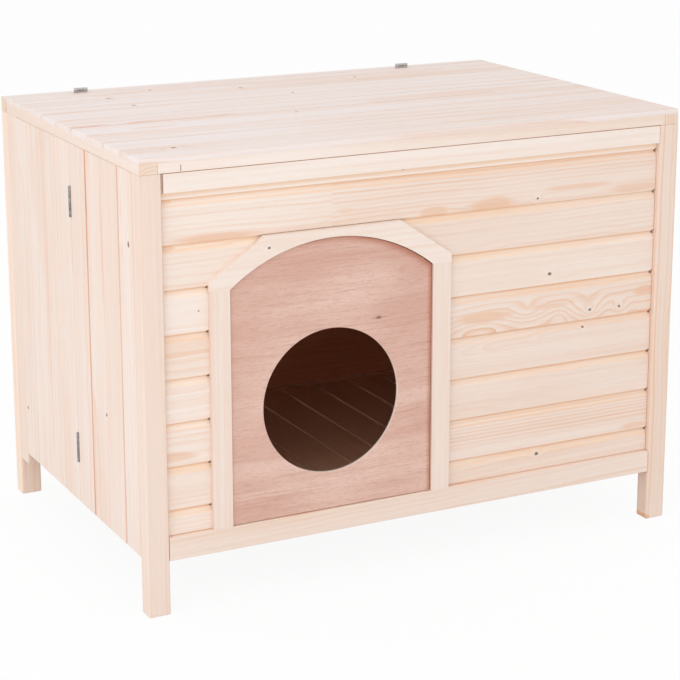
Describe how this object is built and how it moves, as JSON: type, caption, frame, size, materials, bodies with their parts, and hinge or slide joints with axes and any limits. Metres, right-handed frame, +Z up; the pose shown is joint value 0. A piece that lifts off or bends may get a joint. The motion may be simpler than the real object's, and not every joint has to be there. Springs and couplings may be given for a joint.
{
  "type": "cat house",
  "caption": "Flat-topped wooden cat house on legs, with a rear-hinged boarded lid, an arched door frame round a plywood panel with a round entry hole, and a lift-out slatted floor.",
  "frame": {"origin": "on the ground, midway between the outer faces of the four posts", "axes": "+X to the right seen from the door side, +Y from the door side to the rear, +Z up"},
  "size_m": [0.8054, 0.534, 0.6049],
  "materials": {
    "frame_wood": "bare planed whitewood",
    "board_wood": "bare planed whitewood boards",
    "lid_wood": "bare planed whitewood boards",
    "batten_wood": "bare sawn whitewood",
    "floor_wood": "bare planed whitewood slats",
    "plywood": "bare rotary-cut plywood",
    "hinge_steel": "bright plated"
  },
  "bodies": {
    "house": {"front_left_post": "frame_wood", "front_right_post": "frame_wood", "rear_left_post": "frame_wood", "rear_right_post": "frame_wood", "front_top_rail": "frame_wood", "front_bottom_rail": "frame_wood", "rear_top_rail": "frame_wood", "rear_bottom_rail": "frame_wood", "hinge_rail": "frame_wood", "left_spacer": "frame_wood", "right_spacer": "frame_wood", "front_board_1": "board_wood", "front_board_2": "board_wood", "front_board_3": "board_wood", "front_board_4": "board_wood", "front_board_5": "board_wood", "front_board_6": "board_wood", "front_board_7": "board_wood", "front_board_8": "board_wood", "front_board_9": "board_wood", "left_stile": "frame_wood", "right_stile": "frame_wood", "arch_head": "frame_wood", "door_panel": "plywood", "wall_cleats": "batten_wood", "rear_boards": "board_wood", "left_front_boards": "board_wood", "left_rear_boards": "board_wood", "right_front_boards": "board_wood", "right_rear_boards": "board_wood", "left_front_battens": "batten_wood", "left_rear_battens": "batten_wood", "right_front_battens": "batten_wood", "right_rear_battens": "batten_wood", "centre_hinge_front_leaves": "hinge_steel", "centre_hinge_rear_leaves": "hinge_steel", "centre_hinge_pins": "hinge_steel", "corner_hinge_post_leaves": "hinge_steel", "corner_hinge_wall_leaves": "hinge_steel", "corner_hinge_pins": "hinge_steel", "floor_ledgers": "batten_wood", "lid_hinge_rail_leaves": "hinge_steel", "lid_hinge_pins": "hinge_steel"},
    "floor": {"floor_boards": "floor_wood", "floor_battens": "floor_wood"},
    "lid": {"lid_board_1": "lid_wood", "lid_board_2": "lid_wood", "lid_board_3": "lid_wood", "lid_board_4": "lid_wood", "lid_board_5": "lid_wood", "lid_board_6": "lid_wood", "lid_board_7": "lid_wood", "lid_board_8": "lid_wood", "lid_board_9": "lid_wood", "lid_side_battens": "batten_wood", "lid_front_batten": "batten_wood", "lid_rear_batten": "batten_wood", "lid_middle_batten": "batten_wood", "lid_hinge_lid_leaves": "hinge_steel"}
  },
  "joints": [
    {"name": "lid_hinge", "type": "hinge", "parent": "house", "child": "lid", "pos_m": [0, 0.2475, 0.6025], "axis": [-1, 0, 0], "range_deg": [0, 180]},
    {"name": "floor_lift", "type": "slide", "parent": "house", "child": "floor", "axis": [0, 0, 1], "range_m": [0, 0.45]}
  ]
}
